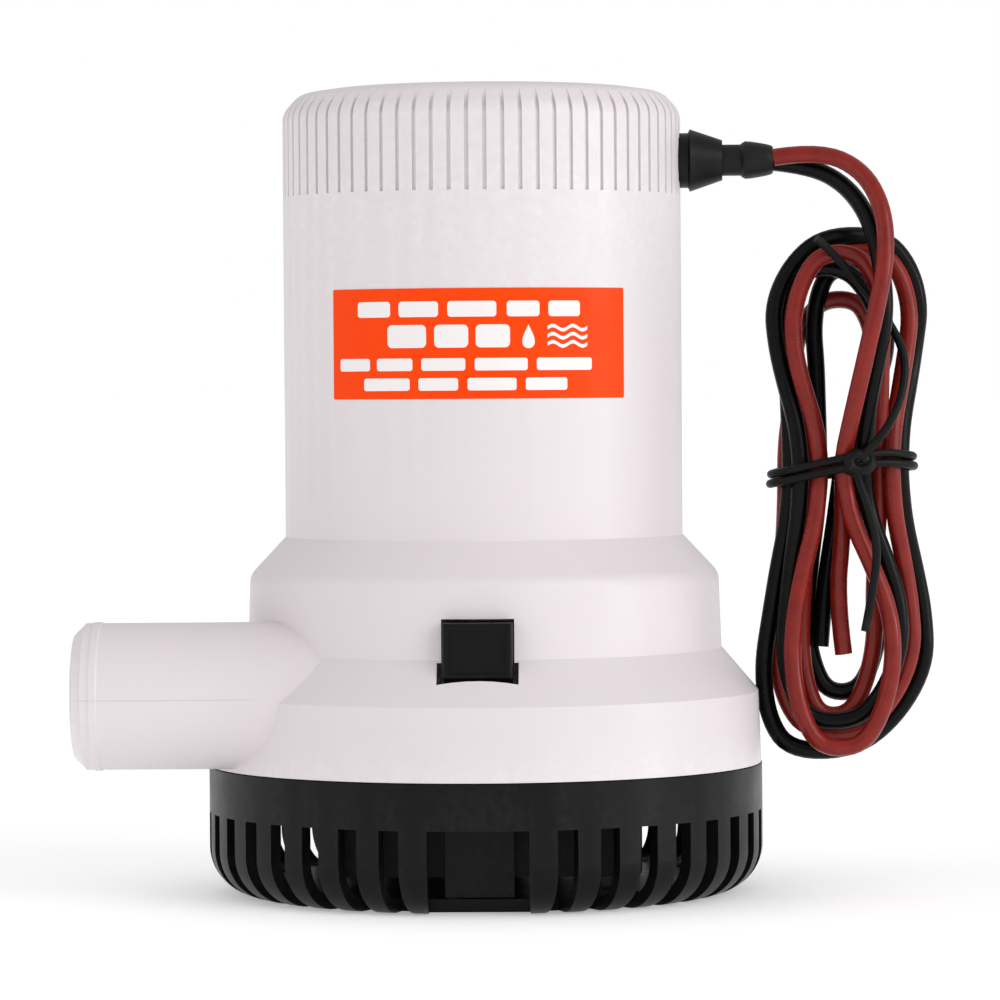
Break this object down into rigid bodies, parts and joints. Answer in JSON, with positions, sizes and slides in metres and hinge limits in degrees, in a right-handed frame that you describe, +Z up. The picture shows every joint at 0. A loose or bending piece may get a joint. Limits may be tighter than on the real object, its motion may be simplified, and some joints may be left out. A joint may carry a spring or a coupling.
{
  "type": "bilge pump",
  "caption": "Submersible bilge pump: round white motor casing with side hose nozzle, on a black slotted strainer base with side latches; red and black leads tied in a hank.",
  "frame": {"origin": "where the pump's axis meets the underside of the strainer base", "axes": "+Z up along the pump's axis, -X along the discharge nozzle, +X along the cable gland, latches on -Y and +Y"},
  "size_m": [0.1691, 0.1102, 0.1595],
  "materials": {
    "black_plastic": "moulded black ABS, satin, fine texture",
    "white_plastic": "moulded white ABS, smooth semi-gloss",
    "label_film": null,
    "gland_plastic": "moulded black nylon",
    "gland_rubber": "black rubber",
    "seal_rubber": "black nitrile rubber",
    "red_wire": "dark red PVC insulation, satin",
    "black_wire": "black PVC insulation, satin",
    "tie_plastic": "black plastic-covered wire tie",
    "stainless": "stainless steel",
    "zinc_steel": "zinc plated drawn steel",
    "bearing_steel": "ground bearing steel",
    "spring_steel": "spring steel wire",
    "lamination_steel": "stacked silicon steel laminations",
    "ferrite": "sintered ferrite, matt dark grey",
    "motor_plastic": "glass filled nylon",
    "brass": "pressed brass",
    "carbon": "copper graphite",
    "foam_rubber": "closed-cell foam rubber",
    "capacitor_body": "epoxy dipped ceramic",
    "impeller_plastic": "moulded acetal",
    "copper_wire": "enamelled copper wire",
    "copper_bar": "drawn copper bars in resin"
  },
  "bodies": {
    "strainer": {"strainer_base": "black_plastic"},
    "latch_front": {"latch_front": "black_plastic"},
    "latch_rear": {"latch_rear": "black_plastic"},
    "pump": {"main_casing": "white_plastic", "top_cap": "white_plastic", "label": "label_film", "gland_nut": "gland_plastic", "gland_sleeve": "gland_rubber", "lead_red": "red_wire", "lead_black": "black_wire", "wire_hank": "red_wire", "hank_tie": "tie_plastic", "cap_o_ring": "seal_rubber", "volute_cover": "black_plastic", "suction_baffles": "black_plastic", "cover_gasket": "seal_rubber", "cover_screws": "stainless", "shaft_seal": "seal_rubber", "motor_can": "zinc_steel", "motor_screws": "stainless", "lower_bearing": "bearing_steel", "upper_bearing": "bearing_steel", "magnet_left": "ferrite", "magnet_right": "ferrite", "end_bell": "motor_plastic", "brush_holder_a": "brass", "brush_holder_b": "brass", "brush_a": "carbon", "brush_b": "carbon", "brush_spring_a": "spring_steel", "brush_spring_b": "spring_steel", "motor_cushion": "foam_rubber", "terminal_red": "brass", "terminal_black": "brass", "suppression_capacitor": "capacitor_body", "gland_washer": "seal_rubber", "gland_locknut": "gland_plastic", "inner_lead_red": "red_wire", "inner_lead_black": "black_wire"},
    "rotor": {"shaft": "stainless", "impeller": "impeller_plastic", "impeller_nut": "stainless", "water_slinger": "seal_rubber", "armature_core": "lamination_steel", "armature_windings": "copper_wire", "commutator": "copper_bar"}
  },
  "joints": [
    {"name": "pump_lift", "type": "slide", "parent": "strainer", "child": "pump", "axis": [0, 0, 1], "range_m": [0, 0.06]},
    {"name": "latch_front_press", "type": "hinge", "parent": "strainer", "child": "latch_front", "pos_m": [0, -0.0429, 0.0039], "axis": [-1, 0, 0], "range_deg": [0, 3], "stiffness_Nm_per_rad": 0.6},
    {"name": "latch_rear_press", "type": "hinge", "parent": "strainer", "child": "latch_rear", "pos_m": [0, 0.0429, 0.0039], "axis": [1, 0, 0], "range_deg": [0, 3], "stiffness_Nm_per_rad": 0.6},
    {"name": "rotor_spin", "type": "hinge", "parent": "pump", "child": "rotor", "pos_m": [0, 0, 0.04], "axis": [0, 0, 1], "continuous": true}
  ]
}
